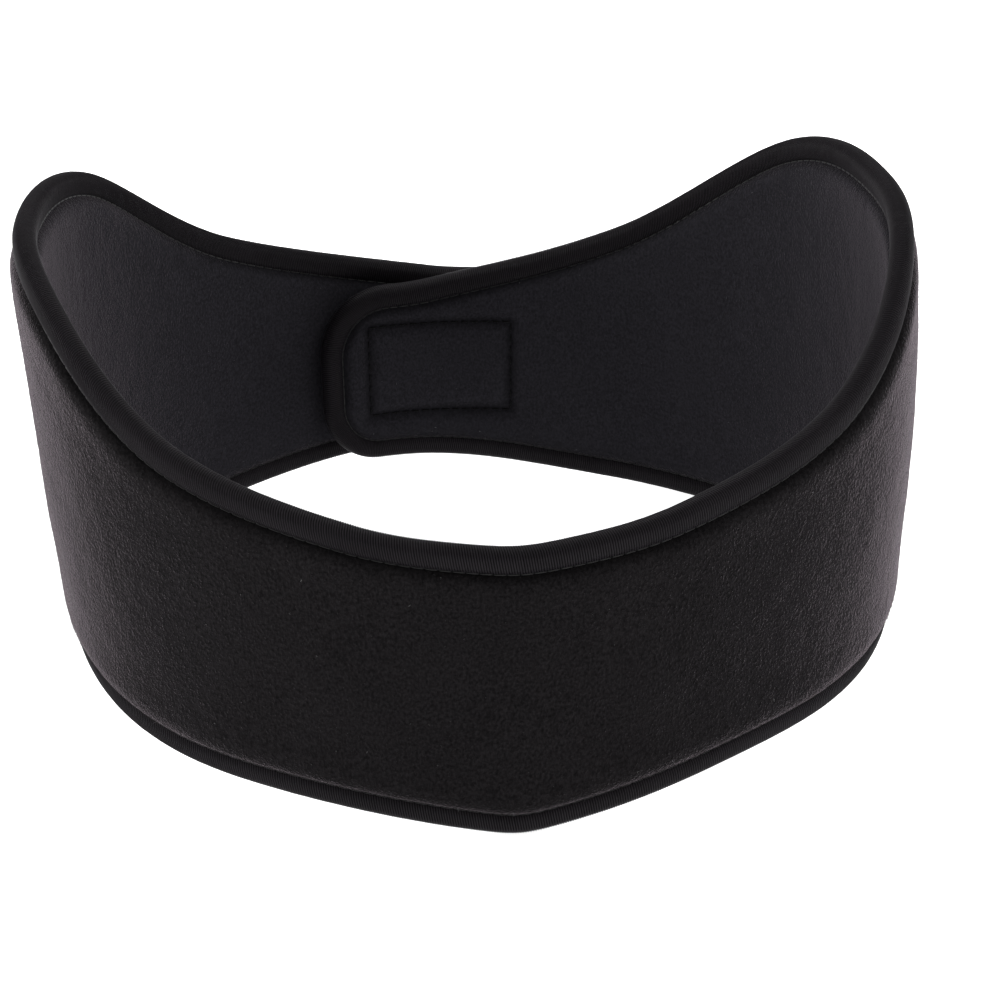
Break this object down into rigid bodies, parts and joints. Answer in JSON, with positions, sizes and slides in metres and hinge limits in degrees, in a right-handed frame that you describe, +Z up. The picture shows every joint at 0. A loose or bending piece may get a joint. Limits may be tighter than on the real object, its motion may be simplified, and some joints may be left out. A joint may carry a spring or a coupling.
{
  "type": "wrap-around eye mask",
  "caption": "Soft padded fleece band with a bound edge and wide side lobes that wraps round the head over eyes and ears and closes at the back with hook tape.",
  "frame": {"origin": "centre of the bounding box in plan, on the surface that the band's lower edge rests on", "axes": "+Z up, -Y towards the centre front (over the eyes), +X to the viewer's right when the front is seen from outside; the tabs overlap at +Y"},
  "size_m": [0.176, 0.177, 0.0978],
  "materials": {
    "outer_fleece": "black brushed fleece, matt with a soft pale nap at glancing angles",
    "lining_fleece": "dark grey-black brushed loop fleece, matt",
    "foam": "open-cell soft foam, charcoal",
    "binding_tape": "black ribbed binding tape with a faint satin sheen along the ribs",
    "thread": "black polyester sewing thread",
    "hook_tape": "black moulded nylon hooks on a woven ground"
  },
  "bodies": {
    "front_band": {"outer_fleece_front": "outer_fleece", "foam_core_front": "foam", "lining_front": "lining_fleece", "top_binding_front": "binding_tape", "bottom_binding_front": "binding_tape", "binding_stitching_front": "thread"},
    "left_wing": {"outer_fleece_left_wing": "outer_fleece", "foam_core_left_wing": "foam", "lining_left_wing": "lining_fleece", "top_binding_left_wing": "binding_tape", "bottom_binding_left_wing": "binding_tape", "binding_stitching_left_wing": "thread"},
    "right_wing": {"outer_fleece_right_wing": "outer_fleece", "foam_core_right_wing": "foam", "lining_right_wing": "lining_fleece", "top_binding_right_wing": "binding_tape", "bottom_binding_right_wing": "binding_tape", "binding_stitching_right_wing": "thread"},
    "left_tab": {"outer_fleece_left_tab": "outer_fleece", "foam_core_left_tab": "foam", "lining_left_tab": "lining_fleece", "end_binding_left_tab": "binding_tape", "binding_stitching_left_tab": "thread"},
    "right_tab": {"outer_fleece_right_tab": "outer_fleece", "foam_core_right_tab": "foam", "lining_right_tab": "lining_fleece", "end_binding_right_tab": "binding_tape", "binding_stitching_right_tab": "thread", "hook_patch": "hook_tape", "hook_patch_stitching": "thread"}
  },
  "joints": [
    {"name": "left_wing_flex", "type": "hinge", "parent": "front_band", "child": "left_wing", "pos_m": [-0.08676, -0.02754, 0.05], "axis": [0, 0, 1], "range_deg": [0, 45]},
    {"name": "left_tab_peel", "type": "hinge", "parent": "left_wing", "child": "left_tab", "pos_m": [-0.05658, 0.06813, 0.025], "axis": [0, 0, 1], "range_deg": [0, 70]},
    {"name": "right_wing_flex", "type": "hinge", "parent": "front_band", "child": "right_wing", "pos_m": [0.08676, -0.02754, 0.05], "axis": [0, 0, -1], "range_deg": [0, 25]},
    {"name": "right_tab_curl", "type": "hinge", "parent": "right_wing", "child": "right_tab", "pos_m": [0.04838, 0.05764, 0.025], "axis": [0, 0, 1], "range_deg": [0, 30]}
  ],
  "couplings": [
    {"joint": "right_wing_flex", "follows": "left_tab_peel", "ratio": 0.35}
  ]
}
